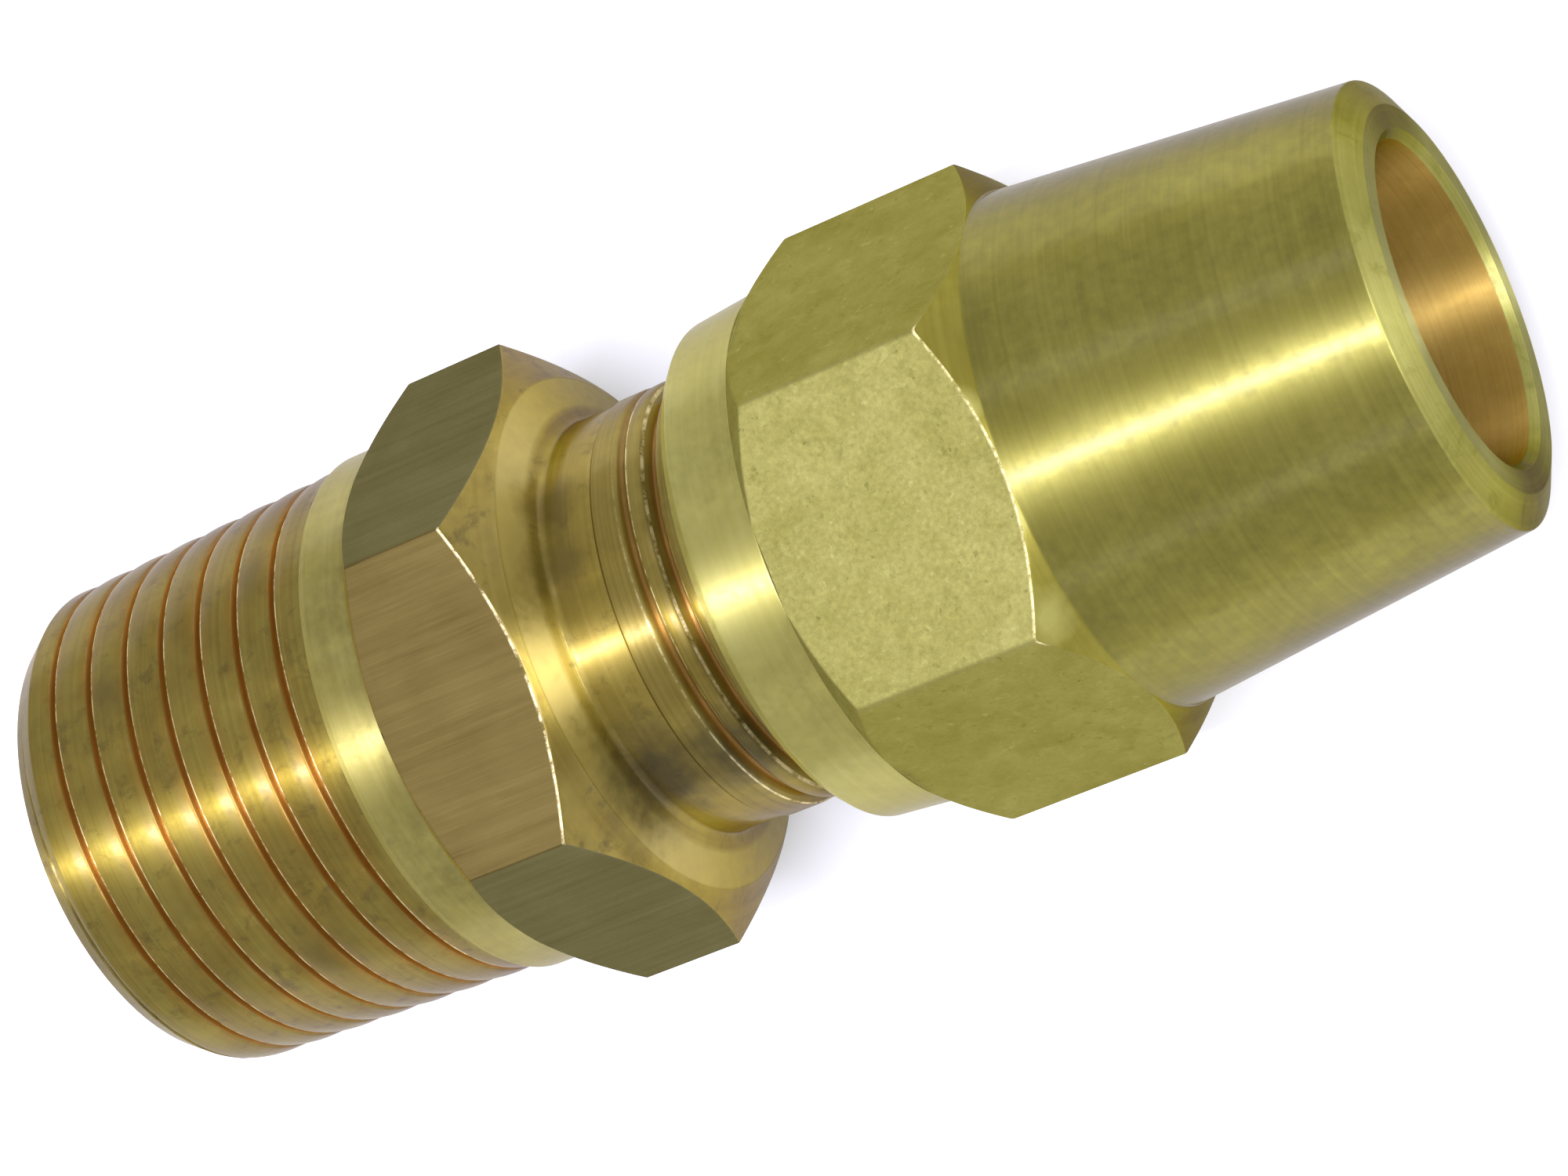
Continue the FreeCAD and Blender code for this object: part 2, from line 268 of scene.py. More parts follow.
def grooved(x, t, surface, pitch, at, groove, deep, crown=0.0, ease=0.0, sign=-1.0):
    """The surface radius less a helical V groove, its land crowned and the edges eased."""
    phase = (x - at) / pitch - (t + math.pi / 2) / (2 * math.pi)
    off = np.abs(phase - np.round(phase)) * pitch
    allowed = groove["depth"] * np.clip(deep(x), 0, 1)
    side = np.maximum(off - groove["root_half"], 0) / groove["slope"]
    depth = np.maximum(allowed - side, 0)
    width = groove["root_half"] + allowed * groove["slope"]
    across = np.clip((pitch / 2 - off) / (pitch / 2 - width), 0, 1)
    drop = crown * across ** 2 + ease * np.exp(-np.maximum(off - width, 0) / EASE_REACH)
    return surface + sign * (depth + drop * np.clip(allowed / FADE_DEPTH, 0, 1))


def spread(*stops):
    """Thread row offsets: the stops given, mirrored, within one pitch."""
    return sorted({round(s, 5) for stop in stops for s in (stop, -stop)})


# ------------------------------------------------------------------ the pieces
def pipe_crest(x):
    return PIPE_GAUGE_RADIUS + (x - PIPE_GAUGE_LENGTH) * PIPE_TAPER


def pipe_surface(x, t, surface):
    fade_end = PIPE_THREAD_LENGTH - PIPE_FADE_GAP
    fade = PIPE_FADE_TURNS * PIPE_PITCH - PIPE_FADE_GAP
    return grooved(x, t, surface, PIPE_PITCH, PIPE_GROOVE_AT, PIPE_GROOVE,
                   lambda x: (fade_end - x) / fade, **PIPE_WEAR)


def flare_surface(x, t, surface):
    return grooved(x, t, surface, THREAD_PITCH, THREAD_GROOVE_AT, THREAD_GROOVE,
                   lambda x: (x - THREAD_FADE_START) / (THREAD_FADE_END - THREAD_FADE_START),
                   **FLARE_WEAR)


def connector_body(materials):
    thread, collar, flats, turned, flare, bore = range(6)
    t = angles(0, BODY_CORNER["angle"])
    count = len(t)
    shell = Shell(t)
    hexagon = hex_radius(t, HEX_FLATS, 0, BODY_CORNER["radius"])
    rise = (hexagon - HEX_FLATS / 2) * HEX_CHAMFER
    nose_end = NOSE_LINE - NOSE_TIP_RADIUS
    join = PIPE_CHAMFER_LENGTH + PIPE_LEAD_IN

    rows, slots = rounded_rows([
        (BORE_CHAMFER, PIPE_BORE_RADIUS, 0, bore),
        (0, PIPE_BORE_RADIUS + BORE_CHAMFER, 0.08, bore),
        (0, PIPE_FACE_RADIUS, 0.12, thread),
        (PIPE_CHAMFER_LENGTH, pipe_crest(PIPE_CHAMFER_LENGTH), 0.15, thread),
        (join, pipe_crest(join), 0, thread)], count)
    dense_rows, dense_slots = [rows[0]], []
    for a, b, slot in zip(rows[:-1], rows[1:], slots):
        length = np.abs(b - a).max()
        steps = max(1, int(length / FINE_STEP)) if a[0, 0] > FINE_STEP and slot == thread else 1
        for k in range(1, steps + 1):
            dense_rows.append(a + (b - a) * k / steps)
            dense_slots.append(slot)
    rows = np.array(dense_rows)
    crest = pipe_crest(rows[..., 0])
    cut = pipe_surface(rows[..., 0], np.broadcast_to(t, rows.shape[:2]), crest)
    rows[..., 1] = np.where(rows[..., 0] > UNCUT_END, np.minimum(rows[..., 1], cut), rows[..., 1])
    shell.rings(rows, dense_slots)

    end = PIPE_THREAD_LENGTH - LEAD_OUT
    offsets = spread(0, 0.035, 0.08, 0.13, 0.18, 0.225, 0.25, 0.275, 0.31, 0.36, 0.45, 0.6, 0.75, 0.9)
    shell.helix(join, end, PIPE_PITCH, PIPE_GROOVE_AT, offsets,
                lambda x, t: pipe_surface(x, t, pipe_crest(x)), thread)

    rows, slots = rounded_rows([
        (end, pipe_crest(end), 0, thread),
        (PIPE_THREAD_LENGTH, pipe_crest(PIPE_THREAD_LENGTH), 0.04, collar),
        (COLLAR_START, COLLAR_RADIUS, 0.10, collar),
        (HEX_START, COLLAR_RADIUS, 0.03, turned),
        (HEX_START, HEX_FLATS / 2, 0.04, turned),
        (HEX_START + rise, hexagon, 0.06, flats),
        (HEX_END - rise, hexagon, 0.10, turned),
        (HEX_END + (HEX_FLATS / 2 - SHOULDER_RADIUS) * HEX_CHAMFER, SHOULDER_RADIUS, 0.10, turned),
        (NECK_START + NECK_FILLET / 3, NECK_RADIUS, NECK_FILLET, turned),
        (THREAD_START, NECK_RADIUS, 0.03, flare),
        (THREAD_START + THREAD_RADIUS - NECK_RADIUS, THREAD_RADIUS, 0.04, flare),
        (THREAD_START + FLARE_LEAD_IN, THREAD_RADIUS, 0, flare)], count, steps=5)
    cut = flare_surface(rows[..., 0], np.broadcast_to(t, rows.shape[:2]), THREAD_RADIUS)
    rows[..., 1] = np.where(rows[..., 0] > THREAD_START, np.minimum(rows[..., 1], cut), rows[..., 1])
    shell.rings(rows, slots)

    chamfer = THREAD_END - (THREAD_RADIUS - NOSE_BASE_RADIUS)
    offsets = spread(0, 0.03, 0.06, 0.10, 0.16, 0.22, 0.28, 0.32, 0.35, 0.38, 0.42, 0.48, 0.55, 0.62)
    shell.helix(THREAD_START + FLARE_LEAD_IN, chamfer - LEAD_OUT, THREAD_PITCH, THREAD_GROOVE_AT, offsets,
                lambda x, t: flare_surface(x, t, THREAD_RADIUS), flare)

    x = np.concatenate([[chamfer - LEAD_OUT], np.linspace(chamfer, THREAD_END, CHAMFER_RINGS)])
    x = np.repeat(x[:, None], count, axis=1)
    surface = np.minimum(THREAD_RADIUS, NOSE_BASE_RADIUS + THREAD_END - x)
    cut = flare_surface(x, np.broadcast_to(t, x.shape), THREAD_RADIUS)
    shell.rings(np.stack([x, np.minimum(surface, cut)], axis=-1), [flare] * (len(x) - 1))

    rows, slots = rounded_rows([
        (THREAD_END, NOSE_BASE_RADIUS, 0, turned),
        (NOSE_LINE - NOSE_BASE_RADIUS, NOSE_BASE_RADIUS, 0.02, turned),
        (nose_end, NOSE_TIP_RADIUS, 0.15, turned),
        (nose_end, FLARE_BORE_RADIUS, 0.10, bore),
        (PIPE_BORE_DEPTH + DRILL_POINT, FLARE_BORE_RADIUS, 0.05, bore),
        (PIPE_BORE_DEPTH, PIPE_BORE_RADIUS, 0.10, bore),
        (BORE_CHAMFER, PIPE_BORE_RADIUS, 0, bore)], count)
    shell.rings(rows, slots)
    return shell.build("connector_body_fine", materials)


def nut_surface(x, t, surface):
    return grooved(x, t, surface, THREAD_PITCH, THREAD_GROOVE_AT + THREAD_PITCH / 2, NUT_GROOVE,
                   lambda x: np.ones_like(x), sign=1.0)


def flare_nut(materials):
    collar, flats, cone, sleeve, face, bore, thread, edge = range(8)
    t = angles(NUT_TURN, NUT_CORNER["angle"])
    count = len(t)
    shell = Shell(t)
    hexagon = hex_radius(t, NUT_FLATS, NUT_TURN, NUT_CORNER["radius"])
    corner = NUT_FLATS / math.sqrt(3)
    slope = (corner - NUT_SHOULDER_RADIUS) / (NUT_CORNER_START - NUT_SHOULDER)
    back = (corner - SLEEVE_START_RADIUS) / (SLEEVE_START - NUT_CORNER_END)
    above = np.maximum(hexagon - NUT_SHOULDER_RADIUS, 0)
    mouth = NUT_RELIEF_RADIUS - NUT_MINOR_RADIUS
    rows, slots = rounded_rows([
        (NUT_RIM + NUT_LIP, NUT_RELIEF_RADIUS - NUT_LIP, 0, thread),
        (NUT_RIM, NUT_RELIEF_RADIUS, 0.08, face),
        (NUT_RIM, NUT_COLLAR_RADIUS - NUT_RIM_CHAMFER, 0.2, collar),
        (NUT_RIM + NUT_RIM_CHAMFER, NUT_COLLAR_RADIUS, 0.2, collar),
        (NUT_SHOULDER, NUT_SHOULDER_RADIUS, 0.12, flats),
        (NUT_SHOULDER + above / slope, hexagon, 0.18, flats),
        (SLEEVE_START - (hexagon - SLEEVE_START_RADIUS) / back, hexagon, 0.10, cone),
        (SLEEVE_START, SLEEVE_START_RADIUS, 0.25, sleeve),
        (NUT_END - NUT_END_CHAMFER, SLEEVE_END_RADIUS, 0.15, edge),
        (NUT_END, NUT_FACE_RADIUS, 0.12, face),
        (NUT_END, TUBE_MOUTH_RADIUS, 0.06, edge),
        (NUT_END - (TUBE_MOUTH_RADIUS - TUBE_BORE_RADIUS), TUBE_BORE_RADIUS, 0.06, bore),
        (SEAT_LINE - TUBE_BORE_RADIUS, TUBE_BORE_RADIUS, 0.12, bore),
        (NUT_RELIEF_END, SEAT_LINE - NUT_RELIEF_END, 0.05, bore),
        (NUT_RELIEF_END, NUT_RELIEF_RADIUS, 0.05, bore),
        (NUT_RELIEF_START, NUT_RELIEF_RADIUS, 0.05, thread),
        (NUT_RELIEF_START - LEAD_OUT, NUT_RELIEF_RADIUS - LEAD_OUT, 0, thread)], count)
    shell.rings(rows, slots)

    start, stop = NUT_RIM + mouth + FINE_STEP, NUT_RELIEF_START - LEAD_OUT
    offsets = spread(0, 0.15, 0.29, 0.33, 0.4, 0.5, 0.58, 0.61, 0.63)
    shell.helix(start, stop, THREAD_PITCH, THREAD_GROOVE_AT + THREAD_PITCH / 2, offsets,
                inner_surface, thread, inner=True)
    x = np.linspace(start, NUT_RIM + NUT_LIP, MOUTH_RINGS)
    x = np.repeat(x[:, None], count, axis=1)
    shell.rings(np.stack([x, inner_surface(x, np.broadcast_to(t, x.shape))], axis=-1),
                [thread] * (len(x) - 1))
    return shell.build("flare_nut_fine", materials)


def inner_surface(x, t):
    """Inside of the nut's threaded length: mouth cone, thread, and cone into the relief."""
    cut = nut_surface(x, t, NUT_MINOR_RADIUS)
    mouth = NUT_RELIEF_RADIUS - (x - NUT_RIM)
    relief = NUT_RELIEF_RADIUS - (NUT_RELIEF_START - x) * RELIEF_SLOPE
    return np.maximum(np.maximum(cut, mouth), relief)


# ------------------------------------------------------------------ materials
class Look:
    """A node tree with short ways to add and link nodes."""

    def __init__(self, name):
        self.material = bpy.data.materials.new(name)
        self.material.use_nodes = True
        self.tree = self.material.node_tree
        self.tree.nodes.clear()
        coords = self.node("TexCoord").outputs["Object"]
        self.mm = self.vector("SCALE", coords, scale=1000.0)
        parts = self.node("SeparateXYZ", Vector=self.mm)
        self.x, self.y, self.z = parts.outputs
        flat = self.node("CombineXYZ", Y=self.y, Z=self.z).outputs[0]
        self.r = self.vector("LENGTH", flat)
        self.angle = self.math("ARCTAN2", self.z, self.y)

    def node(self, kind, **inputs):
        settings = inputs.pop("settings", {})
        made = self.tree.nodes.new("ShaderNode" + kind)
        for key, value in settings.items():
            setattr(made, key, value)
        for key, value in inputs.items():
            self.put(made.inputs[key.replace("_", " ")], value)
        return made

    def put(self, socket, value):
        if isinstance(value, bpy.types.NodeSocket):
            self.tree.links.new(value, socket)
        else:
            socket.default_value = value

    def math(self, operation, a, b=0.0, c=0.0):
        made = self.tree.nodes.new("ShaderNodeMath")
        made.operation = operation
        for socket, value in zip(made.inputs, (a, b, c)):
            self.put(socket, value)
        return made.outputs[0]

    def vector(self, operation, a, b=None, scale=None):
        made = self.tree.nodes.new("ShaderNodeVectorMath")
        made.operation = operation
        self.put(made.inputs[0], a)
        if b is not None:
            self.put(made.inputs[1], b)
        if scale is not None:
            made.inputs["Scale"].default_value = scale
        return made.outputs["Value"] if operation == "LENGTH" else made.outputs["Vector"]

    def noise(self, stretch, scale=1.0, detail=3.0, rough=0.55, warp=0.0):
        """Noise over (x, y, z) in mm, each axis stretched."""
        where = self.vector("MULTIPLY", self.mm, stretch)
        return self.node("TexNoise", Vector=where, Scale=scale, Detail=detail,
                         Roughness=rough, Distortion=warp).outputs["Fac"]

    def lines(self, per_mm, drift=0.4, detail=4.0):
        """Tool lines round the axis: noise along x and the radius, nearly constant round it."""
        cos = self.math("MULTIPLY", self.math("COSINE", self.angle), drift)
        sin = self.math("MULTIPLY", self.math("SINE", self.angle), drift)
        run = self.math("ADD", self.x, self.math("MULTIPLY", self.r, 1.37))
        where = self.node("CombineXYZ", X=self.math("MULTIPLY", run, per_mm), Y=cos, Z=sin).outputs[0]
        return self.node("TexNoise", Vector=where, Scale=1.0, Detail=detail,
                         Roughness=0.6).outputs["Fac"]

    def ramp(self, value, low, high, to_low=0.0, to_high=1.0):
        return self.node("MapRange", Value=value, From_Min=low, From_Max=high,
                         To_Min=to_low, To_Max=to_high).outputs[0]

    def fade(self, value, near, far, full=1.0):
        return self.ramp(value, near, far, full, 0.0)

    def weigh(self, a, share_a, b, share_b):
        return self.math("ADD", self.math("MULTIPLY", a, share_a), self.math("MULTIPLY", b, share_b))

    def mix(self, factor, a, b):
        made = self.tree.nodes.new("ShaderNodeMix")
        made.data_type = "RGBA"
        self.put(made.inputs["Factor"], factor)
        for socket, value in ((made.inputs[6], a), (made.inputs[7], b)):
            self.put(socket, (*value, 1.0) if isinstance(value, tuple) else value)
        return made.outputs[2]

    def bump(self, height, distance):
        return self.node("Bump", Height=height, Distance=distance * MM).outputs["Normal"]

    def metal(self, colour, roughness, normal, anisotropy=0.0, coat=0.0):
        # the specular tint darkens reflections at grazing angles: painted shade
        shader = self.node("BsdfPrincipled", Metallic=1.0, Base_Color=colour, Roughness=roughness,
                           Normal=normal, Specular_Tint=(*GRAZING_PAINTED_SHADE, 1.0))
        if coat:
            shader.inputs["Coat Weight"].default_value = coat
            shader.inputs["Coat Roughness"].default_value = COAT_ROUGHNESS
            self.put(shader.inputs["Coat Normal"], normal)
        if anisotropy:
            shader.inputs["Anisotropic"].default_value = anisotropy
            shader.inputs["Anisotropic Rotation"].default_value = TURNED_ROTATION
            tangent = self.node("Tangent", settings={"direction_type": "RADIAL", "axis": "X"})
            self.put(shader.inputs["Tangent"], tangent.outputs[0])
        out = self.node("OutputMaterial")
        self.tree.links.new(shader.outputs[0], out.inputs["Surface"])
        return self.material


TURNED_ROTATION = 0.25
GRAZING_PAINTED_SHADE = (0.26, 0.22, 0.08)      # reflection at grazing angles, darkened and browned as painted shade
COAT_ROUGHNESS = 0.18
GRAIN_RANGE = (0.3, 0.7)            # where nearly all of a noise's values lie

BROWN = (0.06, 0.045, 0.018)
SOFT_BROWN = (0.15, 0.105, 0.018)
# pale colour of spots on the nut's back cone: painted highlight
PAINTED_HIGHLIGHT_TINT = (0.36, 0.335, 0.09)
# pale colour of the thin lines beside grooves and flat edges: painted highlight
PAINTED_EDGE_HIGHLIGHT = (0.86, 0.74, 0.40)
GROOVE_ORANGE = (0.34, 0.15, 0.02)
GROOVE_HALO = (0.25, 0.14, 0.012)
FLARE_ORANGE = (0.25, 0.13, 0.02)
FLARE_START_LINE = (0.10, 0.065, 0.012)
PIT_GREEN = (0.13, 0.135, 0.03)
SPECK_DARK = (0.13, 0.125, 0.025)
SPECK_PALE = (0.42, 0.40, 0.16)
# the same skin in two copies: darker and browner for the top flat as painted shade, paler for the side
# flats as painted light
TOP_SKIN_PAINTED_SHADE = ((0.078, 0.054, 0.015), (0.132, 0.099, 0.031))
SIDE_SKIN_PAINTED_LIGHT = ((0.125, 0.115, 0.058), (0.175, 0.163, 0.092))
SKIN_STREAK = (0.21, 0.165, 0.06)


def turned_brass(name, pale, deep, roughness, per_mm=7.0, depth=0.004, anisotropy=0.98,
                 stain=None, groove=None, patches=(), face=None, coat=0.5):
    """Brass off the lathe: fine rings, soft colour drift, a little stain.

    face is (inner radius, outer radius, colour) of a ring painted brighter, a painted reflection; patches
    are (place, reach, colour) of ragged spots, brown stains and pale painted highlights, all in mm.
    """
    look = Look(name)
    fine = look.lines(per_mm)
    broad = look.lines(per_mm * 0.18, drift=0.8, detail=2.0)
    drift = look.noise((0.22, 0.22, 0.22), detail=4.0, warp=0.6)
    colour = look.mix(look.ramp(look.weigh(fine, 0.45, drift, 0.55), 0.35, 0.65), deep, pale)
    if stain:
        spots = look.noise((0.9, 0.9, 0.9), detail=6.0, rough=0.7, warp=0.4)
        colour = look.mix(look.ramp(spots, 0.54, 0.72, to_high=0.7), colour, stain)
    # a ring painted brighter all round: painted reflection
    if face:
        inner, outer, painted_reflection = face
        inside = look.math("MULTIPLY", look.ramp(look.r, inner, inner + 0.3),
                           look.fade(look.r, outer - 0.1, outer))
        colour = look.mix(inside, colour, painted_reflection)
    # each patch mixes in its colour: brown ones are stains, pale ones painted highlights
    for place, reach, tint in patches:
        far = look.vector("LENGTH", look.vector("SUBTRACT", look.mm, place))
        ragged = look.math("ADD", far, look.math("MULTIPLY", look.noise((1.1, 1.1, 1.1)), reach))
        colour = look.mix(look.fade(ragged, reach * 0.8, reach * 1.7, full=0.8), colour, tint)
    if groove:
        colour = groove(look, colour)
    normal = look.bump(look.math("ADD", fine, look.math("MULTIPLY", broad, 2.0)), depth)
    wear = look.noise((1.7, 1.7, 1.7), detail=5.0, rough=0.7)
    rough = look.ramp(wear, *GRAIN_RANGE, roughness * 0.85, roughness * 1.2)
    return look.metal(colour, rough, normal, anisotropy, coat)


def from_groove(look, pitch, at):
    """Signed distance along the axis from the nearest turn of a thread groove, in mm."""
    turn = look.math("MULTIPLY_ADD", look.angle, 1 / (2 * math.pi), 0.25)
    phase = look.math("SUBTRACT", look.math("MULTIPLY_ADD", look.x, 1 / pitch, -at / pitch), turn)
    whole = look.math("FRACT", look.math("ADD", phase, 0.5))
    return look.math("MULTIPLY_ADD", whole, pitch, -pitch / 2)


def pipe_tint(look, colour):
    """Orange in the pipe thread's groove, fading out beside it, and a pale line behind it as a painted
    highlight on the flank.
    """
    highlight_at, highlight_half = 0.20, 0.045
    off = from_groove(look, PIPE_PITCH, PIPE_GROOVE_AT)
    away = look.math("ABSOLUTE", off)
    cut = look.math("MULTIPLY", look.ramp(look.x, PIPE_CHAMFER_LENGTH + 0.1, PIPE_CHAMFER_LENGTH + 0.4),
                    look.fade(look.x, PIPE_THREAD_LENGTH - 0.7, PIPE_THREAD_LENGTH - 0.3))
    halo = look.math("MULTIPLY", look.fade(away, 0.15, 0.60, full=0.7), cut)
    halo = look.math("MULTIPLY", halo, look.ramp(look.noise((0.35, 0.35, 0.35)), 0.38, 0.62))
    colour = look.mix(halo, colour, GROOVE_HALO)
    colour = look.mix(look.math("MULTIPLY", look.fade(away, 0.11, 0.17), cut), colour, GROOVE_ORANGE)
    # pale line behind the groove: painted highlight
    return painted_highlight_line(look, colour, look.math("SUBTRACT", off, highlight_at), highlight_half, cut)


def flare_tint(look, colour):
    """Orange in the flare thread's groove, pale edges as painted highlights, a dark line where it starts.
    """
    highlight_at, highlight_half = 0.30, 0.05
    away = look.math("ABSOLUTE", from_groove(look, THREAD_PITCH, THREAD_GROOVE_AT))
    cut = look.math("MULTIPLY", look.ramp(look.x, THREAD_FADE_START, THREAD_FADE_START + 0.5),
                    look.fade(look.x, THREAD_END - 1.2, THREAD_END - 0.9))
    colour = look.mix(look.math("MULTIPLY", look.fade(away, 0.08, 0.20), cut), colour, FLARE_ORANGE)
    from_start = look.math("ABSOLUTE", look.math("SUBTRACT", look.x, THREAD_START))
    colour = look.mix(look.fade(from_start, 0.03, 0.09), colour, FLARE_START_LINE)
    # pale lines at the groove's edges: painted highlights
    return painted_highlight_line(look, colour, look.math("SUBTRACT", away, highlight_at), highlight_half, cut)


def painted_highlight_line(look, colour, off, half, where):
    """A thin, broken pale line along an edge, a painted highlight; off is the distance from its middle.
    """
    line = look.fade(look.math("ABSOLUTE", off), half * 0.5, half, full=0.85)
    broken = look.ramp(look.noise((1.4, 1.4, 1.4), detail=5.0, rough=0.75), 0.40, 0.58)
    line = look.math("MULTIPLY", look.math("MULTIPLY", line, broken), where)
    return look.mix(line, colour, PAINTED_EDGE_HIGHLIGHT)


def painted_highlight_arc(look, colour, slope, offset, flat, margin, half=0.14):
    """A painted highlight line where the top flat meets the chamfer behind it, x = -slope * r - offset.
    """
    rise = look.math("MULTIPLY_ADD", look.r, slope, offset)
    top = look.ramp(look.z, flat - margin[0], flat - margin[1])
    return painted_highlight_line(look, colour, look.math("ADD", look.x, rise), half, top)


def drawn_brass(name):
    """The bar's own skin on the body's flats: dull, streaked along the axis, the top flat painted darker
    and browner than the side flats as painted shade.
    """
    look = Look(name)
    streak = look.noise((0.10, 2.6, 2.6), detail=5.0, rough=0.65, warp=0.3)
    fine = look.noise((0.35, 11.0, 11.0), detail=4.0, rough=0.6)
    cloud = look.noise((0.25, 0.3, 0.3), detail=4.0, warp=0.8)
    tone = look.ramp(look.weigh(streak, 0.6, cloud, 0.4), 0.28, 0.72)
    # the top flat gets the darker copy of the skin: painted shade
    shaded_top = look.mix(look.ramp(fine, 0.5, 0.75, to_high=0.35), look.mix(tone, *TOP_SKIN_PAINTED_SHADE), SKIN_STREAK)
    flat = HEX_FLATS / 2
    colour = look.mix(look.ramp(look.z, flat - 0.1, flat), look.mix(tone, *SIDE_SKIN_PAINTED_LIGHT), shaded_top)
    # painted highlight along the top flat's back edge
    colour = painted_highlight_arc(look, colour, HEX_CHAMFER, -flat * HEX_CHAMFER - HEX_END, flat, (0.1, 0.0))
    normal = look.bump(look.math("ADD", streak, look.math("MULTIPLY", fine, 0.6)), 0.006)
    return look.metal(colour, look.ramp(fine, *GRAIN_RANGE, 0.45, 0.56), normal)


def forged_brass(name, pale, deep, roughness=0.62, grain=0.02):
    """Hot-forged and blasted brass: mottled, specked and lightly pitted, with a painted highlight along
    the top flat's back edge.
    """
    look = Look(name)
    cloud = look.noise((0.22, 0.22, 0.22), detail=5.0, warp=0.7)
    blotch = look.noise((0.8, 0.8, 0.8), detail=4.0, rough=0.65, warp=0.5)
    fine = look.noise((5.0, 5.0, 5.0), detail=4.0, rough=0.7)
    specks = look.noise((1.6, 1.6, 1.6), detail=5.0, rough=0.75, warp=0.3)
    pits = look.ramp(look.noise((2.1, 2.1, 2.1), detail=4.0, rough=0.6), 0.66, 0.74, to_high=0.6)
    colour = look.mix(look.ramp(look.weigh(cloud, 0.5, blotch, 0.5), 0.36, 0.64), deep, pale)
    colour = look.mix(look.ramp(specks, 0.58, 0.70, to_high=0.45), colour, SPECK_DARK)
    colour = look.mix(look.fade(specks, 0.30, 0.40, full=0.45), colour, SPECK_PALE)
    colour = look.mix(pits, colour, PIT_GREEN)
    back = (NUT_FLATS / math.sqrt(3) - SLEEVE_START_RADIUS) / (SLEEVE_START - NUT_CORNER_END)
    # painted highlight along the top flat's back edge
    colour = painted_highlight_arc(look, colour, 1 / back, -SLEEVE_START_RADIUS / back - SLEEVE_START,
                      NUT_FLATS / 2, (0.5, 0.3))
    height = look.weigh(blotch, 1.2, fine, 0.4)
    normal = look.bump(look.math("SUBTRACT", height, pits), grain)
    rough = look.ramp(fine, *GRAIN_RANGE, roughness * 0.9, roughness * 1.15)
    return look.metal(colour, rough, normal)


def copper(name):
    """Soft copper of the gasket."""
    look = Look(name)
    fine = look.lines(5.0)
    cloud = look.noise((0.5, 0.5, 0.5), detail=4.0)
    colour = look.mix(look.ramp(cloud, 0.35, 0.65), (0.50, 0.20, 0.10), (0.66, 0.31, 0.18))
    return look.metal(colour, look.ramp(fine, *GRAIN_RANGE, 0.32, 0.42), look.bump(fine, 0.006))


def plain_floor():
    look = Look("floor")
    grain = look.noise((0.02, 0.02, 0.02), detail=3.0)
    colour = look.mix(grain, (0.90, 0.90, 0.895), (0.93, 0.93, 0.925))
    shader = look.node("BsdfPrincipled", Base_Color=colour, Roughness=0.9)
    out = look.node("OutputMaterial")
    look.tree.links.new(shader.outputs[0], out.inputs["Surface"])
    return look.material


THREAD_STAINS = (((12.2, 7.6, 7.2), 1.2, SOFT_BROWN), ((5.0, 5.6, 8.6), 1.3, SOFT_BROWN),
                 ((9.5, -6.9, 7.7), 1.5, SOFT_BROWN))
NECK_STAINS = (((25.2, -5.4, 6.9), 2.8, BROWN), ((24.7, 5.6, 6.5), 1.5, SOFT_BROWN),
               ((25.0, 3.4, 7.9), 1.4, SOFT_BROWN))
FLARE_STAINS = (((28.4, -5.8, 6.6), 2.4, BROWN),)
# pale spots on the nut's back cone: painted highlights
CONE_PAINTED_HIGHLIGHTS = (((43.2, -5.2, 9.9), 1.1, PAINTED_HIGHLIGHT_TINT), ((43.5, -1.5, 10.5), 0.7, PAINTED_HIGHLIGHT_TINT),
              ((43.5, 3.0, 10.4), 0.7, PAINTED_HIGHLIGHT_TINT))

body = connector_body([
    turned_brass("pipe_thread_brass", pale=(0.255, 0.20, 0.035), deep=(0.175, 0.12, 0.012),
                 roughness=0.42, stain=(0.08, 0.05, 0.008), groove=pipe_tint, coat=0.4,
                 patches=THREAD_STAINS),
    turned_brass("collar_brass", pale=(0.385, 0.335, 0.10), deep=(0.32, 0.27, 0.06),
                 roughness=0.50, coat=0.4),
    drawn_brass("drawn_flats"),
    # the shoulder face's brighter ring is a painted reflection
    turned_brass("shoulder_brass", pale=(0.34, 0.26, 0.05), deep=(0.22, 0.155, 0.014),
                 roughness=0.40, per_mm=4.0, stain=(0.10, 0.07, 0.012), coat=0.35,
                 face=(9.1, SHOULDER_RADIUS, (0.42, 0.33, 0.085)), patches=NECK_STAINS),
    turned_brass("flare_thread_brass", pale=(0.29, 0.225, 0.05), deep=(0.19, 0.135, 0.015),
                 roughness=0.40, coat=0.35, groove=flare_tint, patches=FLARE_STAINS),
    turned_brass("body_bore_brass", pale=(0.45, 0.33, 0.11), deep=(0.36, 0.25, 0.07),
                 roughness=0.40),
])
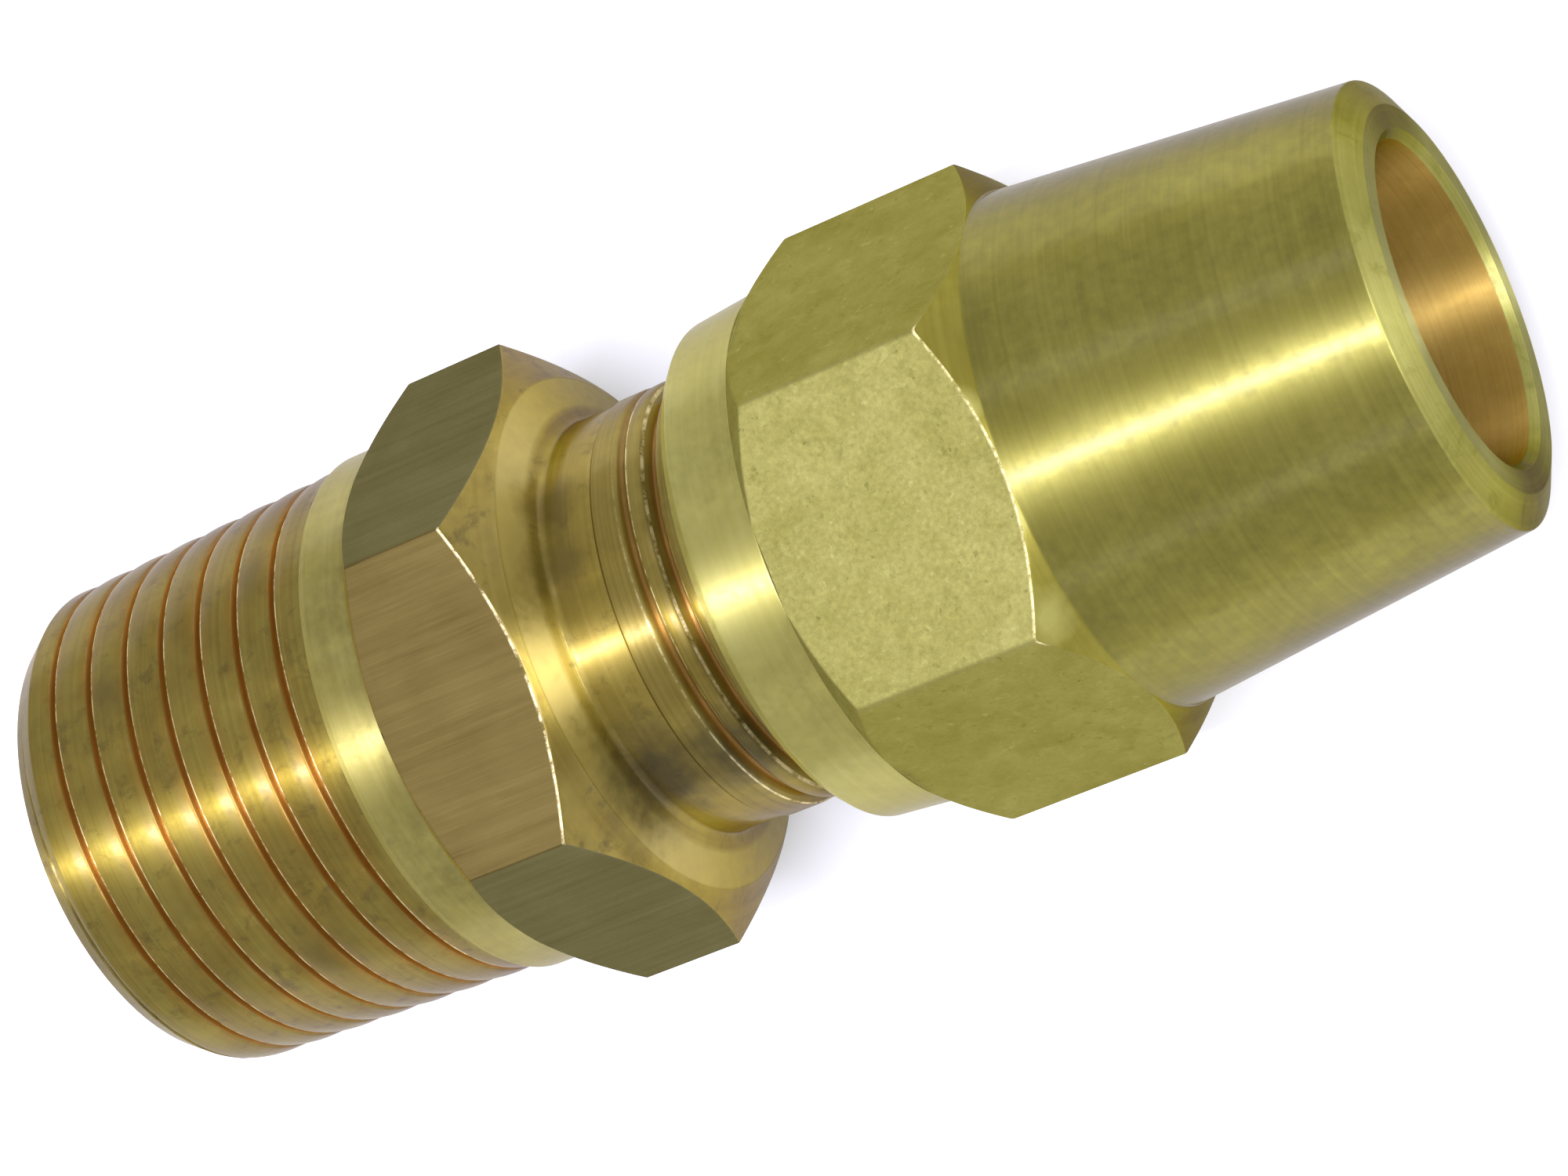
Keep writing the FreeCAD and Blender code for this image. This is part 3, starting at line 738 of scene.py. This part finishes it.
nut = flare_nut([
    turned_brass("nut_collar_brass", pale=(0.43, 0.39, 0.12), deep=(0.37, 0.33, 0.08),
                 roughness=0.44, per_mm=5.0, coat=0.4),
    forged_brass("forged_flats", pale=(0.31, 0.285, 0.09), deep=(0.235, 0.215, 0.055)),
    turned_brass("nut_cone_brass", pale=(0.235, 0.205, 0.035), deep=(0.17, 0.145, 0.018),
                 roughness=0.42, anisotropy=0.5, coat=0.1, patches=CONE_PAINTED_HIGHLIGHTS),
    turned_brass("sleeve_brass", pale=(0.28, 0.25, 0.045), deep=(0.215, 0.19, 0.025),
                 roughness=0.47, per_mm=6.0, coat=0.4),
    turned_brass("nut_face_brass", pale=(0.25, 0.24, 0.08), deep=(0.175, 0.165, 0.045),
                 roughness=0.40, coat=0.1),
    turned_brass("nut_bore_brass", pale=(0.62, 0.43, 0.115), deep=(0.49, 0.32, 0.065),
                 roughness=0.50, per_mm=9.0),
    turned_brass("nut_thread_brass", pale=(0.50, 0.38, 0.12), deep=(0.40, 0.28, 0.07),
                 roughness=0.36),
    turned_brass("nut_end_edge_brass", pale=(0.27, 0.255, 0.07), deep=(0.17, 0.16, 0.03),
                 roughness=0.40, anisotropy=0.6, stain=(0.13, 0.12, 0.02), coat=0.1),
])
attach(body, "connector")
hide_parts("connector_body")
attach(nut, "nut")
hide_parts("flare_nut")
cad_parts["flare_gasket"].material_slots[0].material = copper("gasket_copper_look")

# ------------------------------------------------------------------ floor, light, camera
low, high = (Vector(c) for c in CAD_BOX)
centre = (low + high) / 2
FLOOR_SIZE = 3.0                    # metres, as for the lamps
mesh = bpy.data.meshes.new("floor")
half = FLOOR_SIZE / 2
mesh.from_pydata([(centre.x + sx * half, centre.y + sy * half, low.z) for sx, sy in
                  ((-1, -1), (1, -1), (1, 1), (-1, 1))], [], [(0, 1, 2, 3)])
mesh.materials.append(plain_floor())
floor = bpy.data.objects.new("floor", mesh)
bpy.context.scene.collection.objects.link(floor)


FLASH = (1.0, 1.0, 1.30)            # cooler than the room
LAMP_DISTANCE = 0.60
SIDE_SIZE = (0.10, 0.30)


def softbox(name, direction, distance, size, power):
    """An area light aimed at the fitting; size is (across the fitting, square to that)."""
    light = bpy.data.lights.new(name, "AREA")
    light.shape = "RECTANGLE"
    light.size, light.size_y = size
    light.energy = power
    light.color = FLASH
    lamp = bpy.data.objects.new(name, light)
    back = Vector(direction).normalized()
    across = Vector((0, 1, 0))
    along = back.cross(across).normalized()
    across = along.cross(back)
    turn = Matrix((across, along, back)).transposed()
    lamp.matrix_world = Matrix.Translation(centre + back * distance) @ turn.to_4x4()
    bpy.context.scene.collection.objects.link(lamp)
    return lamp


softbox("top_strip", (0.0, 0.0, 1.0), LAMP_DISTANCE, (0.030, 0.60), power=2.5)
softbox("top_wide", (0.0, 0.0, 1.0), LAMP_DISTANCE + 0.02, (0.30, 0.60), power=0.7)
softbox("left_side", (0.10, 0.60, 0.80), LAMP_DISTANCE, SIDE_SIZE, power=0.12)
softbox("right_side", (0.10, -0.74, 0.67), LAMP_DISTANCE, SIDE_SIZE, power=0.10)
softbox("end_fill", (0.96, 0.0, 0.28), LAMP_DISTANCE, (0.20, 0.10), power=2.0)

world = bpy.data.worlds.new("studio")
world.use_nodes = True
background = world.node_tree.nodes["Background"]
background.inputs["Color"].default_value = (1.0, 1.0, 1.0, 1.0)
background.inputs["Strength"].default_value = 1.0
bpy.context.scene.world = world

CAMERA_AIM = Vector((29.83, -0.45, 0.0)) * MM
CAMERA_DISTANCE = 197.43 * MM
CAMERA_ELEVATION = math.radians(66.775)
CAMERA_AZIMUTH = math.radians(-2.028)
CAMERA_ROLL = math.radians(110.058)
CAMERA_LENS = 117.0                 # millimetres, as is the sensor's width
CAMERA_SENSOR = 36.0
back = Vector((math.cos(CAMERA_ELEVATION) * math.cos(CAMERA_AZIMUTH),
               math.cos(CAMERA_ELEVATION) * math.sin(CAMERA_AZIMUTH), math.sin(CAMERA_ELEVATION)))
right = Vector((0, 0, 1)).cross(back).normalized()
turn = Matrix((right, back.cross(right), back)).transposed() @ Matrix.Rotation(-CAMERA_ROLL, 3, "Z")
camera = bpy.data.objects.new("camera", bpy.data.cameras.new("camera"))
camera.data.lens = CAMERA_LENS
camera.data.sensor_width = CAMERA_SENSOR
camera.data.clip_start = 0.01
camera.data.clip_end = 20.0
camera.matrix_world = Matrix.Translation(CAMERA_AIM + back * CAMERA_DISTANCE) @ turn.to_4x4()
bpy.context.scene.collection.objects.link(camera)
bpy.context.scene.camera = camera
bpy.context.scene.view_settings.view_transform = "Standard"
